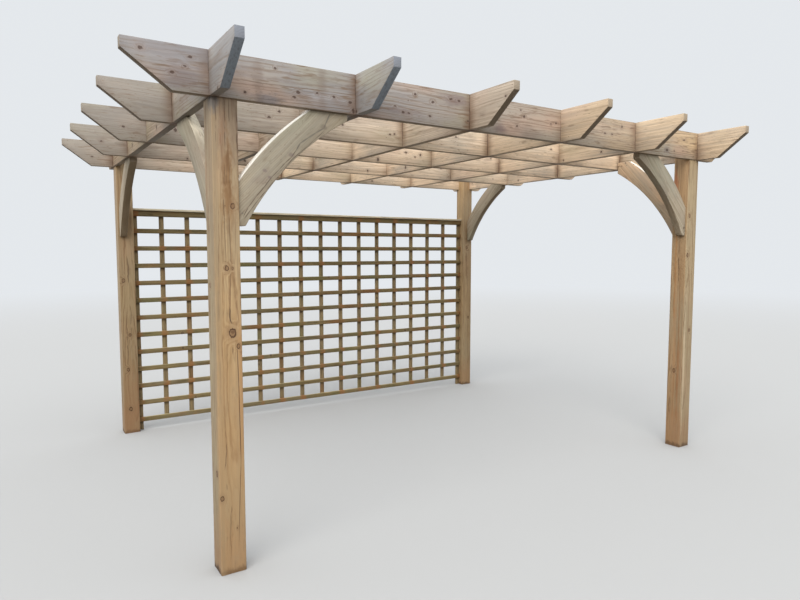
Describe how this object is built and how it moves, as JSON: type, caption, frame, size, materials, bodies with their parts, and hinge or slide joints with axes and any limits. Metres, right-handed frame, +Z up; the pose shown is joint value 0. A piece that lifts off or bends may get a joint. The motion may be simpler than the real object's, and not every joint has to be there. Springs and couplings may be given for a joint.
{
  "type": "wooden pergola",
  "caption": "Free-standing square-post wooden pergola with a flat roof of halved beams with splayed tails, curved knee braces and a square trellis closing the back.",
  "frame": {"origin": "on the ground, under the middle of the roof", "axes": "+X along the front from the left post to the right post, +Y from the front to the trellis at the back, +Z up"},
  "size_m": [4.594, 3.704, 2.5],
  "materials": {
    "post_wood": "planed softwood, warm tan",
    "beam_wood": "planed softwood, pale",
    "brace_wood": "sawn softwood, greyish",
    "trellis_wood": "pressure treated softwood, olive brown",
    "cap_wood": "sawn softwood, pale"
  },
  "bodies": {
    "root": {"post_front_left": "post_wood", "post_front_right": "post_wood", "post_back_left": "post_wood", "post_back_right": "post_wood", "long_beam_1": "beam_wood", "long_beam_2": "beam_wood", "long_beam_3": "beam_wood", "long_beam_4": "beam_wood", "long_beam_5": "beam_wood", "cross_beam_1": "beam_wood", "cross_beam_2": "beam_wood", "cross_beam_3": "beam_wood", "cross_beam_4": "beam_wood", "cross_beam_5": "beam_wood", "cross_beam_6": "beam_wood", "brace_front_left": "brace_wood", "brace_front_right": "brace_wood", "brace_left_front": "brace_wood", "brace_left_back": "brace_wood", "brace_right_front": "brace_wood", "brace_right_back": "brace_wood", "trellis_lattice": "trellis_wood", "trellis_left_stile": "trellis_wood", "trellis_right_stile": "trellis_wood", "trellis_cap_rail": "cap_wood"}
  },
  "joints": []
}
